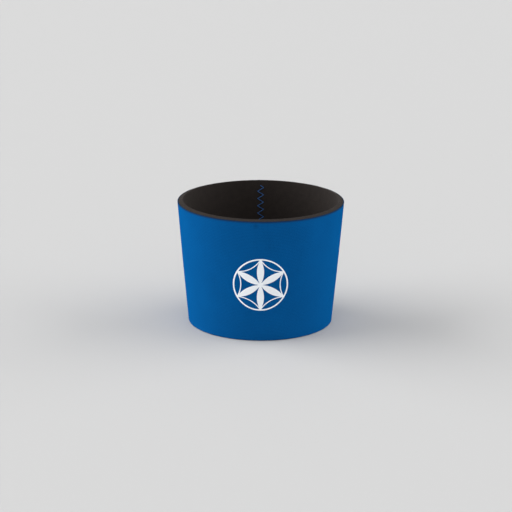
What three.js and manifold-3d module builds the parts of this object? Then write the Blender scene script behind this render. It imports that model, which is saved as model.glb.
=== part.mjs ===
// Coffee cup sleeve: a sheet of foam with a knit face, rolled into an open cone and sewn up the back.
// Millimetres, +Z up. The origin is the centre of the lower edge, which stands on the floor.
// -Y is the printed front and +Y the sewn back.

import * as THREE from 'three';
import { mergeVertices } from 'three/addons/utils/BufferGeometryUtils.js';
import Module from 'manifold-3d';

const wasm = await Module();
wasm.setup();

// Driving sizes of the rolled sleeve
const upperDiameter = 93; // across the outside at the upper edge
const lowerDiameter = 81; // across the outside at the lower edge
const height = 70; // floor to the highest line, the inside of the upper edge
const rimDrop = 0.9; // the outside of the upper cut edge lies this much lower than its inside
const foamThickness = 2.7; // square to the wall
const fabricThickness = 0.5; // square to the wall
const fabricRound = 0.35; // on the two outer corners of the knit face
const fabricLift = 0.2; // the knit's lower edge is this far above the floor, which only the foam meets
const foamRound = 0.5; // on the two inner corners of the foam

// Back seam: the two ends of the sheet meet edge to edge and are zigzag stitched
const seamGap = 0.3; // between the two ends
const threadDiameter = 0.4;
const stitchWidth = 3.6; // across the zigzag, between the thread's centrelines
const stitchLength = 4.4; // along the seam, for one whole zigzag
const stitchMargin = 2.5; // from each edge of the sleeve to the end of the stitching

// Printed ornament: a ring round a six-petal compass rosette
const printRadius = 15; // to the outside of the ring
const printHeight = 33; // of the rosette's centre, over the floor
const petals = 6; // what a compass set to the ring's own radius steps round it
const printLine = 0.8; // width of the ring's line
const printFineLine = 0.55; // width of the arcs between the petal tips
const printHub = 1.3; // radius of the dot that joins the petals
const inkThickness = 0.15;

// Clearances and fineness
const restGap = 0.1; // between the sleeve and what lies on it
const wallSegments = 96; // round the sleeve
const roundSegments = 4; // on each rounded corner
const threadHalfSides = 3; // sides on each half of the thread
const threadStepsPerStitch = 8;
const petalHalfSegments = 4; // on each half of a petal side
const ringHalfSegments = 32; // on each half of the ring

// Worked out from the driving sizes
const shoulder = height - rimDrop; // height of the outside of the upper edge
const taper = Math.atan2((upperDiameter - lowerDiameter) / 2, shoulder);
const depth = (thickness) => thickness / Math.cos(taper); // thickness square to the wall, as a radial one
const wallThickness = foamThickness + fabricThickness;
const threadLift = restGap + threadDiameter / 2; // from the sleeve's surface to the thread's centreline
const tipRadius = printRadius - printLine / 2; // of the petal tips, and of every arc in the rosette
const petalAngle = (2 * Math.PI) / petals;

// Radius of the surface that lies this far inside the outer face, at height z.
const radiusAt = (z, inside = 0) => lowerDiameter / 2 + z * Math.tan(taper) - depth(inside);

// Height of the sloped upper cut edge, over the surface that lies this far inside the outer face.
const cutHeight = (inside) => shoulder + rimDrop * (inside / wallThickness);

const material = (color, roughness) =>
  new THREE.MeshStandardMaterial({ color, roughness, metalness: 0 });
const materials = {
  foam: material('#3a3532', 0.95),
  fabric: material('#0b5699', 0.85),
  thread: material('#0d4a86', 0.7),
  ink: material('#e6eef4', 0.6),
};

const sleeve = new THREE.Group();
sleeve.name = 'coffee_cup_sleeve';

function addMesh(name, geometry, meshMaterial) {
  const mesh = new THREE.Mesh(geometry, meshMaterial);
  mesh.name = name;
  sleeve.add(mesh);
}

// A closed geometry as a solid that can be joined and cut.
function toSolid(geometry) {
  const bare = new THREE.BufferGeometry();
  bare.setAttribute('position', geometry.getAttribute('position'));
  bare.setIndex(geometry.getIndex());
  const merged = mergeVertices(bare, 1e-4);
  return new wasm.Manifold(
    new wasm.Mesh({
      numProp: 3,
      vertProperties: merged.getAttribute('position').array,
      triVerts: new Uint32Array(merged.getIndex().array),
    }),
  );
}

function toGeometry(solid) {
  const mesh = solid.getMesh();
  const geometry = new THREE.BufferGeometry();
  geometry.setAttribute('position', new THREE.BufferAttribute(mesh.vertProperties, 3));
  geometry.setIndex(new THREE.BufferAttribute(mesh.triVerts, 1));
  const faceted = geometry.toNonIndexed();
  faceted.computeVertexNormals();
  return faceted;
}

// A ring about Z. The section is an anticlockwise path of radius and height, and closes on its first point.
function revolve(section) {
  const points = section.getPoints(roundSegments);
  points.push(points[0].clone());
  return toSolid(new THREE.LatheGeometry(points, wallSegments).rotateX(Math.PI / 2));
}

// Rounds the corner at b of the path a, b, c with a curve that starts and ends this far from b.
function roundCorner(path, a, b, c, size) {
  const start = b.clone().add(a.clone().sub(b).setLength(size));
  const end = b.clone().add(c.clone().sub(b).setLength(size));
  path.lineTo(start.x, start.y);
  path.quadraticCurveTo(b.x, b.y, end.x, end.y);
}

// The corners of a layer's section, between two depths under the outer face, from a lowest height up.
function layerCorners(outside, inside, lowest) {
  const foot = (deep) => new THREE.Vector2(radiusAt(lowest, deep), lowest);
  const top = (deep) => new THREE.Vector2(radiusAt(cutHeight(deep), deep), cutHeight(deep));
  return [foot(outside), top(outside), top(inside), foot(inside)];
}

// The slit between the two ends of the sheet.
function seamSlit() {
  const slit = new THREE.BoxGeometry(seamGap, upperDiameter, 3 * height);
  slit.translate(0, upperDiameter / 2, 0);
  return toSolid(slit);
}

function foamWall() {
  const [outerFoot, outerTop, innerTop, innerFoot] = layerCorners(fabricThickness, wallThickness, 0);
  const section = new THREE.Path();
  section.moveTo(outerFoot.x, outerFoot.y);
  section.lineTo(radiusAt(fabricLift, fabricThickness), fabricLift); // a corner shared with the knit's foot
  section.lineTo(outerTop.x, outerTop.y);
  roundCorner(section, outerTop, innerTop, innerFoot, foamRound);
  roundCorner(section, innerTop, innerFoot, outerFoot, foamRound);
  return toGeometry(revolve(section).subtract(seamSlit()));
}

function knitFace() {
  const [outerFoot, outerTop, innerTop, innerFoot] = layerCorners(0, fabricThickness, fabricLift);
  const section = new THREE.Path();
  section.moveTo(innerTop.x, innerTop.y);
  section.lineTo(innerFoot.x, innerFoot.y);
  roundCorner(section, innerFoot, outerFoot, outerTop, fabricRound);
  roundCorner(section, outerFoot, outerTop, innerTop, fabricRound);
  return toGeometry(revolve(section).subtract(seamSlit()));
}

// A zigzag up the back of the sleeve, on the surface that lies this far inside the outer face.
class ZigzagCurve extends THREE.Curve {
  constructor(inside) {
    super();
    this.inside = inside;
    this.run = shoulder - 2 * stitchMargin;
    this.stitches = Math.max(1, Math.round(this.run / stitchLength));
  }

  getPoint(t, target = new THREE.Vector3()) {
    const z = stitchMargin + t * this.run;
    const radius = radiusAt(z, this.inside);
    const across = (stitchWidth / 2) * Math.sin(2 * Math.PI * this.stitches * t);
    const angle = Math.PI / 2 + across / radius;
    return target.set(radius * Math.cos(angle), radius * Math.sin(angle), z);
  }
}

function seamThread(inside) {
  const path = new ZigzagCurve(inside);
  const section = new THREE.Shape();
  section.absarc(0, 0, threadDiameter / 2, 0, 2 * Math.PI);
  return new THREE.ExtrudeGeometry(section, {
    steps: path.stitches * threadStepsPerStitch,
    curveSegments: threadHalfSides,
    extrudePath: path,
  });
}

// A flat outline, X across and Y up, pushed straight back through the front of the sleeve.
function frontPrism(outline, halfSegments) {
  const prism = new THREE.ExtrudeGeometry(outline, {
    depth: upperDiameter,
    bevelEnabled: false,
    curveSegments: halfSegments,
  });
  prism.rotateX(Math.PI / 2);
  prism.translate(0, 0, printHeight);
  return toSolid(prism);
}

function ringOutline() {
  const ring = new THREE.Shape().absarc(0, 0, printRadius, 0, 2 * Math.PI);
  ring.holes.push(new THREE.Path().absarc(0, 0, printRadius - printLine, 0, 2 * Math.PI, true));
  return ring;
}

// A petal from the centre to the tip at this angle. Its sides are arcs centred on the two next tips.
function petalOutline(angle) {
  const petal = new THREE.Shape();
  const before = angle - petalAngle;
  const after = angle + petalAngle;
  petal.absarc(tipRadius * Math.cos(before), tipRadius * Math.sin(before), tipRadius,
    before + Math.PI, before + Math.PI - petalAngle, true);
  petal.absarc(tipRadius * Math.cos(after), tipRadius * Math.sin(after), tipRadius,
    after + Math.PI + petalAngle, after + Math.PI, true);
  return petal;
}

// A fine line from the tip at this angle to the next, bowed inwards.
function bowOutline(angle) {
  const outwards = angle + petalAngle / 2;
  const distance = 2 * tipRadius * Math.cos(petalAngle / 2);
  const centre = [distance * Math.cos(outwards), distance * Math.sin(outwards)];
  const from = outwards + Math.PI - petalAngle / 2;
  const to = outwards + Math.PI + petalAngle / 2;
  const bow = new THREE.Shape();
  bow.absarc(...centre, tipRadius + printFineLine / 2, from, to, false);
  bow.absarc(...centre, tipRadius - printFineLine / 2, to, from, true);
  return bow;
}

function ornamentPrism() {
  const hub = new THREE.Shape().absarc(0, 0, printHub, 0, 2 * Math.PI);
  let ornament = frontPrism(ringOutline(), ringHalfSegments).add(frontPrism(hub, petalHalfSegments));
  for (let i = 0; i < petals; i++) {
    const angle = (i + 0.5) * petalAngle;
    ornament = ornament.add(frontPrism(petalOutline(angle), petalHalfSegments));
    ornament = ornament.add(frontPrism(bowOutline(angle), petalHalfSegments));
  }
  return ornament;
}

// The printed film is the part of a thin cone round the sleeve that the ornament covers.
function frontPrint() {
  const near = -restGap;
  const far = -restGap - inkThickness;
  const film = new THREE.Path();
  film.moveTo(radiusAt(0, near), 0);
  film.lineTo(radiusAt(0, far), 0);
  film.lineTo(radiusAt(shoulder, far), shoulder);
  film.lineTo(radiusAt(shoulder, near), shoulder);
  return toGeometry(revolve(film).intersect(ornamentPrism()));
}

addMesh('foam_wall', foamWall(), materials.foam);
addMesh('knit_face', knitFace(), materials.fabric);
addMesh('seam_thread_outside', seamThread(-threadLift), materials.thread);
addMesh('seam_thread_inside', seamThread(wallThickness + threadLift), materials.thread);
addMesh('front_print', frontPrint(), materials.ink);

export default sleeve;
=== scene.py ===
"""Dresses a coffee cup sleeve on a pale floor.

The sleeve is a sheet of dark closed-cell foam with a blue knit bonded to its outside. It is rolled into an
open cone, zigzag stitched up the back, and has a white ornament printed on the front.
Metres, +Z up. The front faces -Y, and the seam is at +Y.
"""

import math

import bmesh
import bpy
import numpy as np
from bpy.props import FloatProperty, FloatVectorProperty, IntProperty, PointerProperty
from bpy.types import Operator, Panel, PropertyGroup
from mathutils import Matrix, Vector


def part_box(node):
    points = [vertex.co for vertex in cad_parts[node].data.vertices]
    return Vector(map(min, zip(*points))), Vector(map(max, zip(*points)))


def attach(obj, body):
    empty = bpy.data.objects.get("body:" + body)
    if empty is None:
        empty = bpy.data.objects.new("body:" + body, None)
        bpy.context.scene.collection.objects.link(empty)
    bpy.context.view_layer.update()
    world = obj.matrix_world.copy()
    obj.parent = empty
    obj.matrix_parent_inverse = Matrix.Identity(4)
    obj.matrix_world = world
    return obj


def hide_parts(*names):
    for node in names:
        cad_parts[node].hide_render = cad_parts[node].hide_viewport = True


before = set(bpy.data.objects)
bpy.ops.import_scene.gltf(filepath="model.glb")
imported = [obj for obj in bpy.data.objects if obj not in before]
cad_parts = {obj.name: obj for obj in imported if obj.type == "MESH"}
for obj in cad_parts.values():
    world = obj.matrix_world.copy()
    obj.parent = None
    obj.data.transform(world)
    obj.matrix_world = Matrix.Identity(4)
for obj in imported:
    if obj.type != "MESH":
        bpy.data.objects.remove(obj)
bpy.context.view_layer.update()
PRINT_LOW, PRINT_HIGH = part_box("front_print")

bl_info = {
    "name": "Coffee Cup Sleeve",
    "version": (1, 0, 0),
    "blender": (4, 5, 0),
    "location": "3D View > Sidebar > Sleeve",
    "description": "Foam cup sleeve with a knit face, a stitched back seam and a printed front",
    "category": "Add Mesh",
}

MM = 0.001


def linear(hex_colour):
    """An sRGB hex colour as the linear red, green and blue that a shader takes."""
    channels = [int(hex_colour[i : i + 2], 16) / 255 for i in (1, 3, 5)]
    return [c / 12.92 if c <= 0.04045 else ((c + 0.055) / 1.055) ** 2.4 for c in channels]


# Settings


class WallSettings(PropertyGroup):
    """Sizes of the rolled wall, as in the part's source."""

    upper_diameter: FloatProperty(
        name="Upper Diameter",
        description="Across the outside at the upper edge",
        default=93 * MM,
        min=20 * MM,
        subtype="DISTANCE",
        unit="LENGTH",
    )
    lower_diameter: FloatProperty(
        name="Lower Diameter",
        description="Across the outside at the lower edge",
        default=81 * MM,
        min=20 * MM,
        subtype="DISTANCE",
        unit="LENGTH",
    )
    height: FloatProperty(
        name="Height",
        description="Floor to the inside of the upper edge",
        default=70 * MM,
        min=10 * MM,
        subtype="DISTANCE",
        unit="LENGTH",
    )
    rim_drop: FloatProperty(
        name="Rim Drop",
        description="How much lower the outside of the upper cut edge lies than its inside",
        default=0.9 * MM,
        min=0,
        subtype="DISTANCE",
        unit="LENGTH",
    )
    foam_thickness: FloatProperty(
        name="Foam Thickness",
        description="Of the foam alone, square to the wall",
        default=2.7 * MM,
        min=0.5 * MM,
        subtype="DISTANCE",
        unit="LENGTH",
    )
    knit_thickness: FloatProperty(
        name="Knit Thickness",
        description="Of the knit alone, square to the wall",
        default=0.5 * MM,
        min=0.1 * MM,
        subtype="DISTANCE",
        unit="LENGTH",
    )
    knit_lift: FloatProperty(
        name="Knit Lift",
        description="From the floor to the knit's lower edge",
        default=0.2 * MM,
        min=0,
        subtype="DISTANCE",
        unit="LENGTH",
    )
    swell: FloatProperty(
        name="Swell",
        description="How far the wall bows out halfway up",
        default=0.15 * MM,
        min=0,
        subtype="DISTANCE",
        unit="LENGTH",
    )


class SeamSettings(PropertyGroup):
    """Sizes of the zigzag seam, as in the part's source."""

    gap: FloatProperty(
        name="Gap",
        description="Left between the knit's two ends, which the stitching presses together",
        default=0.03 * MM,
        min=0.01 * MM,
        subtype="DISTANCE",
        unit="LENGTH",
    )
    thread_diameter: FloatProperty(
        name="Thread Diameter",
        description="Of the twisted sewing thread",
        default=0.4 * MM,
        min=0.1 * MM,
        subtype="DISTANCE",
        unit="LENGTH",
    )
    stitch_width: FloatProperty(
        name="Stitch Width",
        description="Across the zigzag, between the needle holes",
        default=3.6 * MM,
        min=1 * MM,
        subtype="DISTANCE",
        unit="LENGTH",
    )
    stitch_length: FloatProperty(
        name="Stitch Length",
        description="Along the seam, for one whole zigzag",
        default=4.4 * MM,
        min=1 * MM,
        subtype="DISTANCE",
        unit="LENGTH",
    )
    margin: FloatProperty(
        name="Margin",
        description="From each edge of the sleeve to the end of the stitching",
        default=2.5 * MM,
        min=0,
        subtype="DISTANCE",
        unit="LENGTH",
    )
    valley: FloatProperty(
        name="Valley",
        description="How deep the stitching draws each face in along the seam",
        default=0.16 * MM,
        min=0,
        subtype="DISTANCE",
        unit="LENGTH",
    )
    dimple: FloatProperty(
        name="Dimple",
        description="How deep the thread draws each face in at a needle hole",
        default=0.26 * MM,
        min=0,
        subtype="DISTANCE",
        unit="LENGTH",
    )


class PrintSettings(PropertyGroup):
    """Sizes of the printed rosette. Its place and size come from the frame."""

    radius: FloatProperty(
        name="Radius",
        description="To the outside of the ring",
        default=(PRINT_HIGH.x - PRINT_LOW.x) / 2,
        min=2 * MM,
        subtype="DISTANCE",
        unit="LENGTH",
    )
    height: FloatProperty(
        name="Height",
        description="Of the rosette's centre over the floor",
        default=(PRINT_HIGH.z + PRINT_LOW.z) / 2,
        subtype="DISTANCE",
        unit="LENGTH",
    )
    line: FloatProperty(
        name="Ring Line",
        description="Width of the ring's line",
        default=0.8 * MM,
        min=0.1 * MM,
        subtype="DISTANCE",
        unit="LENGTH",
    )
    fine_line: FloatProperty(
        name="Fine Line",
        description="Width of the arcs between the petal tips",
        default=0.55 * MM,
        min=0.1 * MM,
        subtype="DISTANCE",
        unit="LENGTH",
    )
    hub: FloatProperty(
        name="Hub",
        description="Radius of the dot that joins the petals",
        default=1.3 * MM,
        min=0.2 * MM,
        subtype="DISTANCE",
        unit="LENGTH",
    )
    thickness: FloatProperty(
        name="Ink Thickness",
        description="How far the ink stands over the knit",
        default=0.13 * MM,
        min=0.01 * MM,
        subtype="DISTANCE",
        unit="LENGTH",
    )
    petals: IntProperty(
        name="Petals",
        description="How many petals the rosette has",
        default=6,
        min=3,
        max=12,
    )


class FinishSettings(PropertyGroup):
    """Colours and pattern sizes."""

    knit: FloatVectorProperty(
        name="Knit",
        description="Colour of the yarn on top of the loops",
        default=linear("#095898"),
        size=3,
        min=0,
        max=1,
        subtype="COLOR",
    )
    # Painted shade: this dark colour drawn between the loops stands in for the shade that falls there, and
    # is also the dark end of the yarn's random tone
    knit_shade: FloatVectorProperty(
        name="Knit Shade",
        description="Colour between the loops",
        default=linear("#063C6E"),
        size=3,
        min=0,
        max=1,
        subtype="COLOR",
    )
    foam: FloatVectorProperty(
        name="Foam",
        description="Colour of the foam's walls between its cells",
        default=linear("#302A27"),
        size=3,
        min=0,
        max=1,
        subtype="COLOR",
    )
    # Painted shade: this dark colour drawn down in the foam's cells stands in for the shade that falls
    # there, and is also the dark end of the foam's random grain
    foam_shade: FloatVectorProperty(
        name="Foam Shade",
        description="Colour down in the foam's cells",
        default=linear("#1D1A19"),
        size=3,
        min=0,
        max=1,
        subtype="COLOR",
    )
    thread: FloatVectorProperty(
        name="Thread",
        description="Colour of the sewing thread",
        default=linear("#115CA0"),
        size=3,
        min=0,
        max=1,
        subtype="COLOR",
    )
    ink: FloatVectorProperty(
        name="Ink",
        description="Colour of the screen print",
        default=linear("#F3F7FB"),
        size=3,
        min=0,
        max=1,
        subtype="COLOR",
    )
    floor: FloatVectorProperty(
        name="Floor",
        description="Colour of the floor",
        default=linear("#BABABA"),
        size=3,
        min=0,
        max=1,
        subtype="COLOR",
    )
    wale: FloatProperty(
        name="Wale",
        description="Width of one column of loops",
        default=1.15 * MM,
        min=0.1 * MM,
        subtype="DISTANCE",
        unit="LENGTH",
    )
    course: FloatProperty(
        name="Course",
        description="Height of one row of loops",
        default=0.85 * MM,
        min=0.1 * MM,
        subtype="DISTANCE",
        unit="LENGTH",
    )
    cell: FloatProperty(
        name="Foam Cell",
        description="Width of one cell in the cut foam",
        default=0.55 * MM,
        min=0.05 * MM,
        subtype="DISTANCE",
        unit="LENGTH",
    )


class StudioSettings(PropertyGroup):
    """Camera and lamps."""

    lens: FloatProperty(
        name="Lens",
        description="Focal length on a 36 mm sensor, in millimetres",
        default=135.3,
        min=20,
    )
    distance: FloatProperty(
        name="Distance",
        description="From the middle of the sleeve to the camera",
        default=1083.4 * MM,
        min=100 * MM,
        subtype="DISTANCE",
        unit="LENGTH",
    )
    elevation: FloatProperty(
        name="Elevation",
        description="Angle at which the camera looks down",
        default=math.radians(16.255),
        subtype="ANGLE",
        unit="ROTATION",
    )
    roll: FloatProperty(
        name="Roll",
        description="Turn of the camera about its own line of sight",
        default=math.radians(0.305),
        subtype="ANGLE",
        unit="ROTATION",
    )
    aside: FloatVectorProperty(
        name="Aside",
        description="Camera's step to its right and up from the line through the sleeve's middle",
        default=(-2.50 * MM, 2.05 * MM),
        size=2,
        subtype="XYZ",
        unit="LENGTH",
    )
    ambient: FloatProperty(
        name="Ambient",
        description="Strength of the even light from all round",
        default=0.62,
        min=0,
    )
    backdrop: FloatVectorProperty(
        name="Backdrop",
        description="Colour that the camera sees beyond the floor",
        default=linear("#D8D8D8"),
        size=3,
        min=0,
        max=1,
        subtype="COLOR",
    )


# Shapes


class Wall:
    """The sleeve's wall, as a function of angle, height and depth.

    Angle runs from the seam at the back, round by the left side, to the seam again. Depth is measured
    square to the wall, from 0 on the outer face to the wall's thickness on the inner one.
    """

    def __init__(self, wall, seam):
        self.foot = wall.lower_diameter / 2
        self.shoulder = wall.height - wall.rim_drop
        self.rim_drop = wall.rim_drop
        self.lean = math.atan2((wall.upper_diameter - wall.lower_diameter) / 2, self.shoulder)
        self.knit = wall.knit_thickness
        self.thickness = wall.knit_thickness + wall.foam_thickness
        self.swell = wall.swell
        self.seam = seam

        # The needle holes lie evenly up the seam, by turns on one side of it and on the other
        run = self.shoulder - 2 * seam.margin
        zigzags = max(1, round(run / seam.stitch_length))
        order = np.arange(2 * zigzags)
        step = run / len(order)
        self.needle_height = seam.margin + step * (order + 0.5)
        self.needle_across = seam.stitch_width / 2 * np.where(order % 2 == 0, 1, -1)

    def cut_height(self, depth):
        """Height of the sloped upper cut edge, which rises evenly from the outer face to the inner one."""
        return self.shoulder + self.rim_drop * depth / self.thickness

    def radius(self, height, depth):
        """The foot's radius, plus the cone's growth and half a sine of swell up it, less the depth."""
        swell = self.swell * np.sin(np.pi * np.clip(height / self.shoulder, 0, 1))
        return self.foot + height * math.tan(self.lean) + swell - depth / math.cos(self.lean)

    def draw_in(self, across, height):
        """How far the stitching draws a face in.

        A bell curve across the seam makes the valley, and one round bell at each needle hole its dimple.
        """
        valley_reach = 0.55 * self.seam.stitch_width
        dimple_reach = 0.55 * MM
        bell = np.exp(-((across / valley_reach) ** 2))
        side = across[..., None] - self.needle_across
        up = height[..., None] - self.needle_height
        holes = np.exp(-(side**2 + up**2) / dimple_reach**2).sum(-1)
        return self.seam.valley * bell + self.seam.dimple * np.minimum(holes, 1)

    def point(self, angle, height, depth, sewn=True):
        """Places points at these angles, heights and depths. Stitching draws both faces into the wall."""
        angle, height, depth = np.broadcast_arrays(angle, height, depth)
        radius = self.radius(height, depth)
        if sewn:
            across = (np.mod(angle + np.pi, 2 * np.pi) - np.pi) * radius
            side = 1 - 2 * np.clip(depth / self.thickness, 0, 1)
            radius = radius - side * self.draw_in(across, height)
        return np.stack([-radius * np.sin(angle), radius * np.cos(angle), height], -1)

    def flat(self, points):
        """Where points lie on the sheet before it is rolled.

        The cone unrolls about its apex: the slant distance is the radius over the sine of the lean, and the
        angle shrinks by that sine. The result is in metres, with the sheet's own upright along V.
        """
        sine = math.sin(self.lean)
        slant = (self.foot + points[..., 2] * math.tan(self.lean)) / sine
        turn = np.arctan2(points[..., 0], -points[..., 1]) * sine
        return np.stack([slant * np.sin(turn), slant * np.cos(turn) - self.foot / sine], -1)


def rounded_section(corners, rounds, counts, steps=5):
    """A closed section with rounded corners, as rows of depth and height.

    Each corner becomes a parabola that starts and ends its round away along the two sides, and the straight
    run after it is cut into its count of equal steps.
    """
    corners = np.array(corners, float)
    before = np.roll(corners, 1, axis=0) - corners
    after = np.roll(corners, -1, axis=0) - corners
    start = corners + before / np.linalg.norm(before, axis=1)[:, None] * np.array(rounds)[:, None]
    end = corners + after / np.linalg.norm(after, axis=1)[:, None] * np.array(rounds)[:, None]
    t = np.linspace(0, 1, steps)[:, None]
    rows = []
    for i, count in enumerate(counts):
        rows.append((1 - t) ** 2 * start[i] + 2 * t * (1 - t) * corners[i] + t**2 * end[i])
        s = np.linspace(0, 1, count + 1)[1:-1, None]
        rows.append((1 - s) * end[i] + s * start[(i + 1) % len(counts)])
    return np.concatenate(rows)


def stations_round(radius, gap, far_step):
    """Angles from one end of the sheet to the other.

    Near each end they grow apart as the power 1.5 of their number, and further round the step is even.
    """
    near = 5 * MM
    close = (gap / 2 + near * np.linspace(0, 1, 24) ** 1.5) / radius
    count = int((2 * np.pi - 2 * close[-1]) * radius / far_step)
    middle = np.linspace(close[-1], 2 * np.pi - close[-1], count)[1:-1]
    return np.concatenate([close, middle, 2 * np.pi - close[::-1]])


def smooth_noise(shape, passes, seed):
    """Random values smoothed along both axes by a 1-2-1 average, and scaled to a spread of one."""
    values = np.random.default_rng(seed).standard_normal(shape)
    for _ in range(passes):
        for axis in range(len(shape)):
            values = (np.roll(values, 1, axis) + 2 * values + np.roll(values, -1, axis)) / 4
    return values / values.std()


def swept_faces(rows, columns, close_rows=False, close_columns=True):
    """Quads of a grid of points, wound so that row direction crossed with column direction faces out."""
    i = np.arange(rows if close_rows else rows - 1)[:, None]
    j = np.arange(columns if close_columns else columns - 1)[None, :]
    following = (i + 1) % rows
    beside = (j + 1) % columns
    quads = [i * columns + j, following * columns + j, following * columns + beside, i * columns + beside]
    return np.stack(np.broadcast_arrays(*quads), -1).reshape(-1, 4)


def build_mesh(name, points, faces, caps=()):
    """Makes an object from an array of points, an array of quads and some longer flat faces."""
    mesh = bpy.data.meshes.new(name)
    mesh.from_pydata(points.reshape(-1, 3).tolist(), [], faces.tolist() + [list(cap) for cap in caps])
    mesh.validate()
    smooth = np.ones(len(mesh.polygons), bool)
    smooth[len(faces) :] = False
    mesh.polygons.foreach_set("use_smooth", smooth)
    piece = bpy.data.objects.new(name, mesh)
    bpy.context.scene.collection.objects.link(piece)
    return piece


def sweep_section(name, points):
    """A closed strip: points is a grid of sections, and its two end sections are capped."""
    rows, columns = points.shape[:2]
    first = range(columns)
    last = reversed(range((rows - 1) * columns, rows * columns))
    return build_mesh(name, points, swept_faces(rows, columns), [first, last])


def merge_doubles(piece):
    """Welds the points that meet at the tips and poles of a piece."""
    shape = bmesh.new()
    shape.from_mesh(piece.data)
    bmesh.ops.remove_doubles(shape, verts=shape.verts, dist=0.001 * MM)
    shape.to_mesh(piece.data)
    shape.free()
    return piece


def unroll_uv(piece, wall):
    """Writes the piece's UV map from where each of its points lies on the flat sheet."""
    mesh = piece.data
    points = np.empty(len(mesh.vertices) * 3)
    mesh.vertices.foreach_get("co", points)
    corners = np.empty(len(mesh.loops), int)
    mesh.loops.foreach_get("vertex_index", corners)
    layer = mesh.uv_layers.new(name="flat_sheet")
    layer.data.foreach_set("uv", wall.flat(points.reshape(-1, 3))[corners].ravel())


def write_attribute(piece, name, values):
    """Gives the piece one number per point, for its material to read."""
    attribute = piece.data.attributes.new(name, "FLOAT", "POINT")
    attribute.data.foreach_set("value", np.asarray(values, float).ravel())


def finish_piece(piece, node, material):
    """Stands the piece in for its CAD node, on the one body, in its material."""
    piece.data.materials.append(material)
    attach(piece, "root")
    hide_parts(node)


# Materials


MATH = "ShaderNodeMath"
MIX = "ShaderNodeMix"
NOISE = "ShaderNodeTexNoise"


def add_node(tree, kind, inputs=(), **settings):
    """Adds one node with its settings. Each of its inputs is a value, or the socket that is linked to it."""
    node = tree.nodes.new(kind)
    for key, value in settings.items():
        setattr(node, key, value)
    for key, value in inputs.items() if isinstance(inputs, dict) else enumerate(inputs):
        if isinstance(value, bpy.types.NodeSocket):
            tree.links.new(value, node.inputs[key])
        else:
            node.inputs[key].default_value = value
    return node


def new_material(name):
    """An empty node material and its tree."""
    material = bpy.data.materials.new(name)
    material.use_nodes = True
    material.node_tree.nodes.clear()
    return material, material.node_tree


def jersey_relief(tree, finish):
    """Height of the jersey's loops, from 0 to 1, on the flat sheet's own coordinates.

    Across a column the height is a full arch over each of the two legs of a loop. Up a column it is a sine
    that starts later the nearer a leg is to the column's middle, so the legs lean together into a V.
    """
    uv = add_node(tree, "ShaderNodeUVMap", uv_map="flat_sheet").outputs["UV"]
    scale = (1 / finish.wale, 1 / finish.course, 1)
    loops = add_node(tree, "ShaderNodeMapping", {"Vector": uv, "Scale": scale}).outputs[0]
    across, up, _ = add_node(tree, "ShaderNodeSeparateXYZ", [loops]).outputs
    leg = add_node(tree, MATH, [across, 0.5], operation="PINGPONG").outputs[0]
    turn = add_node(tree, MATH, [leg, 2 * math.pi], operation="MULTIPLY").outputs[0]
    arch = add_node(tree, MATH, [turn], operation="SINE").outputs[0]
    rise = add_node(tree, MATH, [up, 2 * math.pi, turn], operation="MULTIPLY_ADD").outputs[0]
    wave = add_node(tree, MATH, [rise], operation="SINE").outputs[0]
    ripple = add_node(tree, MATH, [wave, 0.28, 0.72], operation="MULTIPLY_ADD").outputs[0]
    return add_node(tree, MATH, [arch, ripple], operation="MULTIPLY").outputs[0]


def knit_colour(tree, finish, relief, fibre, mark):
    """Painted shade between the loops, the yarn's dye on top of them, a faint darker spot, and painted shade
    along the rim.
    """
    place = add_node(tree, "ShaderNodeTexCoord").outputs["Object"]
    cloud = add_node(tree, NOISE, {"Vector": place, "Scale": 1 / (14 * MM), "Detail": 3}).outputs["Fac"]
    tone = add_node(tree, MATH, [cloud, 0.30, 0.16], operation="MULTIPLY_ADD").outputs[0]
    tone = add_node(tree, MATH, [fibre, 0.30, tone], operation="MULTIPLY_ADD").outputs[0]
    # Painted shade: the low parts of the relief, between the loops, are drawn darker
    tone = add_node(tree, MATH, [relief, 0.50, tone], operation="MULTIPLY_ADD").outputs[0]

    # A faint darker spot, under the rim
    offset = add_node(tree, "ShaderNodeVectorMath", [place, mark], operation="DISTANCE").outputs["Value"]
    fade = {"Value": offset, "From Min": 0.4 * MM, "From Max": 2.4 * MM, "To Min": 0.30, "To Max": 0.0}
    darker_spot = add_node(tree, "ShaderNodeMapRange", fade, interpolation_type="SMOOTHSTEP").outputs[0]
    tone = add_node(tree, MATH, [tone, darker_spot], operation="SUBTRACT").outputs[0]
    shades = {0: tone, 6: (*finish.knit_shade, 1), 7: (*finish.knit, 1)}
    yarn = add_node(tree, MIX, shades, data_type="RGBA").outputs[2]

    # Painted shade along the rim: near its upper cut edge the knit is darkened towards the foam's shade
    # colour
    rim_painted_shade = add_node(tree, "ShaderNodeAttribute", attribute_name="rim_painted_shade").outputs["Fac"]
    share = add_node(tree, MATH, [rim_painted_shade, 0.85], operation="MULTIPLY").outputs[0]
    edge = {0: share, 6: yarn, 7: (*finish.foam_shade, 1)}
    return add_node(tree, MIX, edge, data_type="RGBA").outputs[2]


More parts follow.
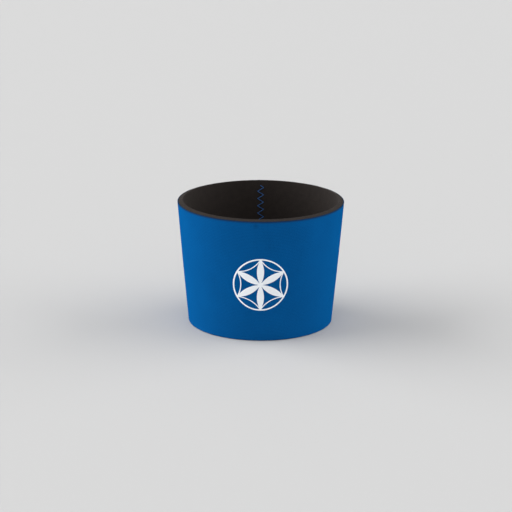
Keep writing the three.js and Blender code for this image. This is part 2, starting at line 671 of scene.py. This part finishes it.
def knit_material(finish, mark):
    """Blue polyester jersey: matt, with fine columns of loops and a soft bloom at its edges.

    The real loops are about 0.6 mm wide. They are drawn about twice as coarse so that they show.
    """
    material, tree = new_material("blue_polyester_jersey")
    relief = jersey_relief(tree, finish)
    place = add_node(tree, "ShaderNodeTexCoord").outputs["Object"]
    fibre = add_node(tree, NOISE, {"Vector": place, "Scale": 1 / (0.8 * MM), "Detail": 2}).outputs["Fac"]
    height = add_node(tree, MATH, [fibre, 0.5, relief], operation="MULTIPLY_ADD").outputs[0]
    bump = {"Height": height, "Strength": 0.8, "Distance": 0.16 * MM}
    look = {
        "Base Color": knit_colour(tree, finish, relief, fibre, mark),
        "Normal": add_node(tree, "ShaderNodeBump", bump).outputs[0],
        "Roughness": 0.9,
        "IOR": 1.5,
        "Specular IOR Level": 0.0,
        "Sheen Weight": 0.12,
        "Sheen Roughness": 0.4,
        "Sheen Tint": (0.0, 0.42, 1, 1),
    }
    surface = add_node(tree, "ShaderNodeBsdfPrincipled", look)
    add_node(tree, "ShaderNodeOutputMaterial", {"Surface": surface.outputs[0]})
    return material


def foam_material(finish):
    """Charcoal closed-cell rubber foam: dead matt, warm grey-brown, with cut cells along its edges.

    Cut cells are 0.2 to 0.4 mm wide in the real foam, and are drawn a little coarser.
    """
    material, tree = new_material("charcoal_rubber_foam")
    place = add_node(tree, "ShaderNodeTexCoord").outputs["Object"]
    cut = add_node(tree, "ShaderNodeAttribute", attribute_name="cut").outputs["Fac"]
    cells = add_node(tree, "ShaderNodeTexVoronoi", {"Vector": place, "Scale": 1 / finish.cell})
    open_cell = add_node(tree, MATH, [cells.outputs["Distance"], 1.3], operation="MULTIPLY").outputs[0]
    skin = add_node(tree, NOISE, {"Vector": place, "Scale": 1 / (0.5 * MM), "Detail": 2}).outputs["Fac"]
    shape = add_node(tree, MIX, {0: cut, 2: skin, 3: open_cell}, data_type="FLOAT").outputs[0]
    grain = add_node(tree, NOISE, {"Vector": place, "Scale": 1 / (3 * MM), "Detail": 4}).outputs["Fac"]
    tone = add_node(tree, MATH, [grain, 0.5, -0.1], operation="MULTIPLY_ADD").outputs[0]
    # Painted shade: the hollows of the cut cells and the low spots of the skin are drawn darker, while the
    # grain varies the tone at random
    tone = add_node(tree, MATH, [shape, 0.7, tone], operation="MULTIPLY_ADD").outputs[0]
    shades = {0: tone, 6: (*finish.foam_shade, 1), 7: (*finish.foam, 1)}
    bump = {"Height": shape, "Strength": 0.6, "Distance": 0.15 * MM}
    look = {
        "Base Color": add_node(tree, MIX, shades, data_type="RGBA").outputs[2],
        "Normal": add_node(tree, "ShaderNodeBump", bump).outputs[0],
        "Roughness": 0.95,
        "IOR": 1.52,
        "Specular IOR Level": 0.15,
    }
    surface = add_node(tree, "ShaderNodeBsdfPrincipled", look)
    add_node(tree, "ShaderNodeOutputMaterial", {"Surface": surface.outputs[0]})
    return material


def thread_material(finish):
    """Spun polyester sewing thread: a slight lustre on each ply, with fine fuzz."""
    material, tree = new_material("spun_polyester_thread")
    place = add_node(tree, "ShaderNodeTexCoord").outputs["Object"]
    fuzz = add_node(tree, NOISE, {"Vector": place, "Scale": 1 / (0.15 * MM), "Detail": 2}).outputs["Fac"]
    tone = add_node(tree, MATH, [fuzz, 0.8, 0.3], operation="MULTIPLY_ADD").outputs[0]
    shades = {0: tone, 6: (*(0.55 * c for c in finish.thread), 1), 7: (*finish.thread, 1)}
    bump = {"Height": fuzz, "Strength": 0.5, "Distance": 0.03 * MM}
    look = {
        "Base Color": add_node(tree, MIX, shades, data_type="RGBA").outputs[2],
        "Normal": add_node(tree, "ShaderNodeBump", bump).outputs[0],
        "Roughness": 0.55,
        "IOR": 1.54,
        "Sheen Weight": 0.2,
        "Sheen Roughness": 0.4,
    }
    surface = add_node(tree, "ShaderNodeBsdfPrincipled", look)
    add_node(tree, "ShaderNodeOutputMaterial", {"Surface": surface.outputs[0]})
    return material


def ink_material(finish):
    """White screen-print ink: a satin film that still shows the loops under it."""
    material, tree = new_material("white_screen_ink")
    relief = jersey_relief(tree, finish)
    place = add_node(tree, "ShaderNodeTexCoord").outputs["Object"]
    cover = add_node(tree, NOISE, {"Vector": place, "Scale": 1 / (1.2 * MM), "Detail": 3}).outputs["Fac"]
    tone = add_node(tree, MATH, [cover, 0.5, 0.55], operation="MULTIPLY_ADD").outputs[0]
    tone = add_node(tree, MATH, [relief, 0.15, tone], operation="MULTIPLY_ADD").outputs[0]
    thin = [0.82 * ink + 0.18 * knit for ink, knit in zip(finish.ink, finish.knit)]
    shades = {0: tone, 6: (*thin, 1), 7: (*finish.ink, 1)}
    bump = {"Height": relief, "Strength": 0.25, "Distance": 0.1 * MM}
    look = {
        "Base Color": add_node(tree, MIX, shades, data_type="RGBA").outputs[2],
        "Normal": add_node(tree, "ShaderNodeBump", bump).outputs[0],
        "Roughness": 0.55,
        "IOR": 1.5,
    }
    surface = add_node(tree, "ShaderNodeBsdfPrincipled", look)
    add_node(tree, "ShaderNodeOutputMaterial", {"Surface": surface.outputs[0]})
    return material


def floor_material(finish):
    """Painted board: plain, pale and matt."""
    material, tree = new_material("pale_painted_board")
    look = {"Base Color": (*finish.floor, 1), "Roughness": 0.9, "IOR": 1.45}
    surface = add_node(tree, "ShaderNodeBsdfPrincipled", look)
    add_node(tree, "ShaderNodeOutputMaterial", {"Surface": surface.outputs[0]})
    return material


# Pieces


# The faint darker spot's place, as a turn from the middle of the front and a height
MARK_TURN = math.radians(-3.3)
MARK_HEIGHT = 66.6 * MM


class SleevePiece:
    """What every piece's operator reads."""

    bl_options = {"REGISTER", "UNDO"}

    def read(self, context):
        scene = context.scene
        self.sizes = scene.sleeve_wall
        self.seam = scene.sleeve_seam
        self.ornament = scene.sleeve_print
        self.finish = scene.sleeve_finish
        self.wall = Wall(self.sizes, self.seam)


class SLEEVE_OT_foam_wall(SleevePiece, Operator):
    """Adds the foam: a cut sheet rolled into a cone, with pitted cut edges and its ends pressed together"""

    bl_idname = "sleeve.foam_wall"
    bl_label = "Foam Wall"

    def pinch(self, angle, section, middle):
        """Shrinks the section towards its middle where the two ends meet, which leaves a fine groove."""
        groove_depth, groove_reach = 0.35 * MM, 0.1 * MM
        along = np.minimum(angle, 2 * np.pi - angle) * self.wall.foot
        groove = groove_depth * np.clip(1 - along / groove_reach, 0, 1)
        depth, height = section.T
        depth = middle[0] + (depth - middle[0]) * (1 - groove / (middle[0] - self.wall.knit))
        height = middle[1] + (height - middle[1]) * (1 - groove / middle[1])
        return depth, height

    def pit(self, depth, height):
        """Moves the cut edges' points into the foam by smoothed noise, because the knife opens its cells.

        Returns the new heights, and how far each point belongs to a cut edge, from 0 to 1.
        """
        skin, pit_depth, foot_share = 0.15 * MM, 0.045 * MM, 0.6
        on_top = np.clip((height - self.wall.cut_height(depth)) / skin + 1, 0, 1)
        on_foot = np.clip(1 - height / skin, 0, 1)
        pits = np.abs(smooth_noise(height.shape, 1, seed=11) * pit_depth)
        height = height - on_top * pits + on_foot * pits * foot_share
        return height, np.maximum(on_top, on_foot)

    def execute(self, context):
        self.read(context)
        wall = self.wall
        corners = [
            (wall.knit, 0),
            (wall.knit, wall.cut_height(wall.knit)),
            (wall.thickness, wall.cut_height(wall.thickness)),
            (wall.thickness, 0),
        ]
        rounds = [0.08 * MM, 0.12 * MM, 0.5 * MM, 0.5 * MM]
        section = rounded_section(corners, rounds, [10, 9, 104, 7])
        angle = stations_round(wall.foot, 0, 0.6 * MM)[:-1, None]
        depth, height = self.pinch(angle, section, np.mean(corners, axis=0))
        height, cut = self.pit(depth, height)
        faces = swept_faces(*height.shape, close_rows=True)
        piece = build_mesh("foam_wall_cut_sheet", wall.point(angle, height, depth), faces)
        write_attribute(piece, "cut", cut)
        finish_piece(piece, "foam_wall", foam_material(self.finish))
        return {"FINISHED"}


class SLEEVE_OT_knit_face(SleevePiece, Operator):
    """Adds the knit: a thin skin bonded to the outside of the foam, with soft cut edges"""

    bl_idname = "sleeve.knit_face"
    bl_label = "Knit Face"

    def soften(self, angle, section):
        """Rolls the skin down over the two ends of the sheet, and makes its upper edge a little ragged.

        The roll is a quarter circle: its depth is its radius, less the root of that radius squared less the
        square of how much of the radius is still to go.
        """
        wall = self.wall
        roll, ragged_depth, ragged_reach = 0.3 * MM, 0.03 * MM, 0.6 * MM
        depth, height = section.T
        along = np.minimum(angle, 2 * np.pi - angle) * wall.foot - self.seam.gap / 2
        rolled = roll - np.sqrt(np.maximum(roll**2 - np.maximum(roll - along, 0) ** 2, 0))
        depth = np.maximum(depth, rolled * (depth < 0.5 * wall.knit))
        ragged = smooth_noise((len(angle), 1), 1, seed=5) * ragged_depth
        near_rim = np.clip((height - wall.shoulder) / ragged_reach + 1, 0, 1)
        return depth, height + near_rim * ragged

    def declare(self, piece):
        """Does nothing. The knit was cut to the curved strip that its outer cone unrolls to."""

    def execute(self, context):
        self.read(context)
        wall = self.wall
        lift = self.sizes.knit_lift
        top = wall.cut_height(np.array([0, wall.knit]))
        corners = [(0, lift), (0, top[0]), (wall.knit, top[1]), (wall.knit, lift)]
        rounds = [0.35 * MM, 0.35 * MM, 0.1 * MM, 0.05 * MM]
        section = rounded_section(corners, rounds, [186, 2, 12, 2])
        angle = stations_round(wall.foot, self.seam.gap, 1.1 * MM)[:, None]
        depth, height = self.soften(angle, section)
        piece = sweep_section("knit_face_skin", wall.point(angle, height, depth))
        unroll_uv(piece, wall)

        # The painted shade along the rim fades as the square of the way up to the rim
        rim_shade_reach = 1.5 * MM
        below = np.clip((wall.shoulder - height) / rim_shade_reach, 0, 1)
        write_attribute(piece, "rim_painted_shade", (1 - below) ** 2)
        mark = wall.point(np.pi + MARK_TURN, MARK_HEIGHT, 0)
        finish_piece(piece, "knit_face", knit_material(self.finish, mark.tolist()))
        self.declare(piece)
        return {"FINISHED"}


class SLEEVE_OT_seam_threads(SleevePiece, Operator):
    """Adds the needle thread outside and the bobbin thread inside"""

    bl_idname = "sleeve.seam_threads"
    bl_label = "Seam Threads"

    def path(self, face, outwards):
        """The thread's centreline.

        It runs straight from one needle hole to the next. Its depth falls steeply from the surface into the
        wall at both ends of each run, as the sixth power of the distance from the run's middle.
        """
        wall = self.wall
        clearance, dip, steps = 0.02 * MM, 0.62 * MM, 32
        low, high = self.seam.margin, wall.shoulder - self.seam.margin
        holes_height = np.concatenate([[low], wall.needle_height, [high]])
        holes_across = np.concatenate([[0], wall.needle_across, [0]])
        order = np.arange(len(holes_height))
        t = np.linspace(0, order[-1], steps * order[-1] + 1)
        height = np.interp(t, order, holes_height)
        across = np.interp(t, order, holes_across)
        steep = np.abs(2 * (t - np.floor(t)) - 1) ** 6
        lift = self.seam.thread_diameter / 2 + clearance - steep * dip
        depth = face - outwards * lift
        return wall.point(across / wall.radius(height, face), height, depth, sewn=False)

    def tube(self, path):
        """A thread of three plies: a circle with three lobes, turned steadily as it follows the path."""
        twist_length, lobe_depth, sides = 1.1 * MM, 0.14, 12
        ahead = np.gradient(path, axis=0)
        steps = np.linalg.norm(ahead, axis=1)
        ahead = ahead / steps[:, None]
        out = path * [1, 1, 0]
        side = np.cross(ahead, out / np.linalg.norm(out, axis=1)[:, None])
        side = side / np.linalg.norm(side, axis=1)[:, None]
        up = np.cross(side, ahead)
        turn = 2 * np.pi * np.cumsum(steps) / twist_length
        around = np.linspace(0, 2 * np.pi, sides, endpoint=False)
        lobes = 1 - lobe_depth + lobe_depth * np.cos(3 * (around[None, :] - turn[:, None]))
        spread = (self.seam.thread_diameter / 2) * lobes
        sideways = (spread * np.cos(around))[..., None] * side[:, None, :]
        upwards = (spread * np.sin(around))[..., None] * up[:, None, :]
        return path[:, None, :] + sideways + upwards

    def execute(self, context):
        self.read(context)
        material = thread_material(self.finish)
        outside = sweep_section("needle_thread_outside", self.tube(self.path(0, 1)))
        finish_piece(outside, "seam_thread_outside", material)
        inside = sweep_section("bobbin_thread_inside", self.tube(self.path(self.wall.thickness, -1)))
        finish_piece(inside, "seam_thread_inside", material)
        return {"FINISHED"}


class SLEEVE_OT_front_print(SleevePiece, Operator):
    """Adds the printed rosette: a ring, a hub, petals and fine arcs between the petal tips"""

    bl_idname = "sleeve.front_print"
    bl_label = "Front Print"

    def ribbon(self, name, centre, across, half_width, level, closed=False, disc=False):
        """A film of ink along a line in the print's flat drawing.

        Its section is a flat top that falls to the knit over rounded edges: the height is the level times
        the fourth root of one less the eighth power of the way across. The drawing is pushed straight back
        on to the wall, so each point's angle is the arc sine of its place across over the wall's radius.
        """
        sunk, thinning = 0.04 * MM, 0.15 * MM
        c = np.sin(np.linspace(0 if disc else -np.pi / 2, np.pi / 2, 8 if disc else 13))
        top = level * self.ornament.thickness * np.maximum(1 - c**8, 0) ** 0.25
        under = c[::-1] if disc else c[-2:0:-3]
        lift = np.concatenate([top, np.zeros(len(under))]) - sunk
        c = np.concatenate([c, under])
        lift = lift * np.minimum(half_width / thinning, 1)[:, None]
        flat = centre[:, None, :] + (half_width[:, None] * c)[..., None] * across[:, None, :]
        height = self.ornament.height + flat[..., 1]
        turn = np.arcsin(flat[..., 0] / self.wall.radius(height, -lift))
        points = self.wall.point(np.pi + turn, height, -lift, sewn=False)
        if not closed:
            return merge_doubles(sweep_section(name, points))
        faces = swept_faces(*points.shape[:2], close_rows=True, close_columns=not disc)
        return merge_doubles(build_mesh(name, points, faces))

    def ring(self, tip):
        """A circle at the tips' radius, followed all the way round."""
        t = np.linspace(0, 2 * np.pi, 217)[:-1]
        outwards = np.stack([np.cos(t), np.sin(t)], -1)
        half_width = np.full(len(t), self.ornament.line / 2)
        return self.ribbon("ring", tip * outwards, -outwards, half_width, 0.90, closed=True)

    def petal(self, tip, angle):
        """A lens between two arcs of the tips' radius.

        Along it, the half width is how far a circle through both its ends bulges past their chord.
        """
        t = (1 - np.cos(np.linspace(0, np.pi, 61))) / 2 * tip
        along = np.array([math.cos(angle), math.sin(angle)])
        left = np.array([-along[1], along[0]])
        bulge = np.sqrt(tip**2 - (t - tip / 2) ** 2) - tip * math.sqrt(3) / 2
        half_width = np.maximum(bulge, 0)
        across = np.broadcast_to(left, (len(t), 2))
        return self.ribbon("petal", t[:, None] * along, across, half_width, 1.0)

    def bow(self, tip, angle, share, level):
        """An arc of the tips' radius, centred outside the ring, from one petal tip to the next."""
        out = angle + share / 2
        centre = 2 * tip * math.cos(share / 2) * np.array([math.cos(out), math.sin(out)])
        t = np.linspace(out + np.pi - share / 2, out + np.pi + share / 2, 49)
        outwards = np.stack([np.cos(t), np.sin(t)], -1)
        half_width = np.full(len(t), self.ornament.fine_line / 2)
        return self.ribbon("bow", centre + tip * outwards, -outwards, half_width, level)

    def hub(self):
        """A disc: a profile from the middle over the rounded edge and back under, turned once round."""
        t = np.linspace(0, -2 * np.pi, 49)[:-1]
        outwards = np.stack([np.cos(t), np.sin(t)], -1)
        half_width = np.full(len(t), self.ornament.hub)
        middle = np.zeros_like(outwards)
        return self.ribbon("hub", middle, outwards, half_width, 1.06, closed=True, disc=True)

    def execute(self, context):
        self.read(context)
        share = 2 * np.pi / self.ornament.petals
        tip = self.ornament.radius - self.ornament.line / 2
        parts = [self.hub(), self.ring(tip)]
        for i in range(self.ornament.petals):
            angle = (i + 0.5) * share
            parts.append(self.petal(tip, angle))
            parts.append(self.bow(tip, angle, share, 0.80 - 0.04 * (i % 2)))
        piece = join_films("front_print_rosette", parts)
        unroll_uv(piece, self.wall)
        finish_piece(piece, "front_print", ink_material(self.finish))
        return {"FINISHED"}


def join_films(name, parts):
    """Joins closed films into one. Each has its own level, so no two tops lie in one surface."""
    base = parts[0]
    for other in parts[1:]:
        join = base.modifiers.new("join", "BOOLEAN")
        join.operation = "UNION"
        join.solver = "EXACT"
        join.object = other
    joined = bpy.data.meshes.new_from_object(base.evaluated_get(bpy.context.evaluated_depsgraph_get()))
    for part in parts:
        bpy.data.meshes.remove(part.data)
    joined.name = name
    joined.polygons.foreach_set("use_smooth", np.ones(len(joined.polygons), bool))
    joined.set_sharp_from_angle(angle=math.radians(35))
    piece = bpy.data.objects.new(name, joined)
    bpy.context.scene.collection.objects.link(piece)
    return piece


# Stage


FLOOR_REACH = 20  # metres each way, so that the camera sees no edge of it

# Name, azimuth and elevation in degrees, level, and spread in degrees
LAMPS = (
    ("left_lamp", -98, 16, 1.40, 70),
    ("right_lamp", 98, 16, 0.78, 70),
    ("front_lamp", 10, 45, 0.12, 60),
)


def add_lamp(name, azimuth, elevation, level, spread):
    """A wide, distant lamp, so that its light is even all over the floor.

    Azimuth turns it from the front towards the right, and level is what it adds to a surface facing it.
    """
    lamp = bpy.data.lights.new(name, "SUN")
    lamp.energy = math.pi * level
    lamp.angle = math.radians(spread)
    holder = bpy.data.objects.new(name, lamp)
    bpy.context.scene.collection.objects.link(holder)
    around = Matrix.Rotation(math.radians(azimuth), 4, "Z")
    down = Matrix.Rotation(math.radians(90 - elevation), 4, "X")
    holder.matrix_world = around @ down


def set_world(ambient, pale):
    """Even light from all round, which the camera and glossy surfaces see as the pale backdrop."""
    world = bpy.data.worlds.new("pale_studio")
    bpy.context.scene.world = world
    world.use_nodes = True
    tree = world.node_tree
    tree.nodes.clear()
    rays = add_node(tree, "ShaderNodeLightPath").outputs
    direct = [rays["Is Camera Ray"], rays["Is Glossy Ray"]]
    seen = add_node(tree, MATH, direct, operation="MAXIMUM").outputs[0]
    light = add_node(tree, "ShaderNodeBackground", {"Color": (1, 1, 1, 1), "Strength": ambient})
    shown = add_node(tree, "ShaderNodeBackground", {"Color": (*pale, 1), "Strength": 1.0})
    mixed = add_node(tree, "ShaderNodeMixShader", [seen, light.outputs[0], shown.outputs[0]])
    add_node(tree, "ShaderNodeOutputWorld", {"Surface": mixed.outputs[0]})


def add_camera(studio, middle):
    """Looks at the front from above, a little off the line through the sleeve's middle."""
    tilt = studio.elevation
    right = Vector((1, 0, 0))
    up = Vector((0, math.sin(tilt), math.cos(tilt)))
    back = Vector((0, -math.cos(tilt), math.sin(tilt)))
    place = middle + back * studio.distance + right * studio.aside[0] + up * studio.aside[1]
    camera = bpy.data.cameras.new("camera")
    camera.sensor_width = 36
    camera.lens = studio.lens
    camera.clip_end = 20
    holder = bpy.data.objects.new("camera", camera)
    bpy.context.scene.collection.objects.link(holder)
    facing = Matrix((right, up, back)).transposed().to_4x4()
    holder.matrix_world = Matrix.Translation(place) @ facing @ Matrix.Rotation(studio.roll, 4, "Z")
    bpy.context.scene.camera = holder


class SLEEVE_OT_stage(Operator):
    """Adds the floor, the lamps, the pale surroundings and the camera"""

    bl_idname = "sleeve.stage"
    bl_label = "Stage"
    bl_options = {"REGISTER", "UNDO"}

    def execute(self, context):
        scene = context.scene
        studio = scene.sleeve_studio
        scene.view_settings.view_transform = "Standard"
        sides = np.array([-FLOOR_REACH, FLOOR_REACH], float)
        x, y = np.meshgrid(sides, sides, indexing="ij")
        floor = build_mesh("floor", np.stack([x, y, 0 * x], -1), swept_faces(2, 2, close_columns=False))
        floor.data.materials.append(floor_material(scene.sleeve_finish))

        shoulder = scene.sleeve_wall.height - scene.sleeve_wall.rim_drop
        middle = Vector((0, 0, shoulder / 2))
        set_world(studio.ambient, studio.backdrop)
        for lamp in LAMPS:
            add_lamp(*lamp)
        add_camera(studio, middle)
        return {"FINISHED"}


class SLEEVE_PT_sidebar(Panel):
    """Lists the sleeve's pieces and their sizes"""

    bl_idname = "SLEEVE_PT_sidebar"
    bl_label = "Coffee Cup Sleeve"
    bl_space_type = "VIEW_3D"
    bl_region_type = "UI"
    bl_category = "Sleeve"

    def draw(self, context):
        for operator in OPERATORS:
            self.layout.operator(operator.bl_idname)
        for name in SETTINGS:
            box = self.layout.box()
            group = getattr(context.scene, name)
            box.label(text=name.replace("_", " ").title())
            for key in group.__annotations__:
                box.prop(group, key)


SETTINGS = {
    "sleeve_wall": WallSettings,
    "sleeve_seam": SeamSettings,
    "sleeve_print": PrintSettings,
    "sleeve_finish": FinishSettings,
    "sleeve_studio": StudioSettings,
}
OPERATORS = (
    SLEEVE_OT_stage,
    SLEEVE_OT_foam_wall,
    SLEEVE_OT_knit_face,
    SLEEVE_OT_seam_threads,
    SLEEVE_OT_front_print,
)


def register():
    for group in (*SETTINGS.values(), *OPERATORS, SLEEVE_PT_sidebar):
        bpy.utils.register_class(group)
    for name, group in SETTINGS.items():
        setattr(bpy.types.Scene, name, PointerProperty(type=group))


def unregister():
    for name in SETTINGS:
        delattr(bpy.types.Scene, name)
    for group in reversed((*SETTINGS.values(), *OPERATORS, SLEEVE_PT_sidebar)):
        bpy.utils.unregister_class(group)


def main():
    register()
    bpy.ops.sleeve.stage()
    bpy.ops.sleeve.foam_wall()
    bpy.ops.sleeve.knit_face()
    bpy.ops.sleeve.seam_threads()
    bpy.ops.sleeve.front_print()


if __name__ == "__main__":
    main()
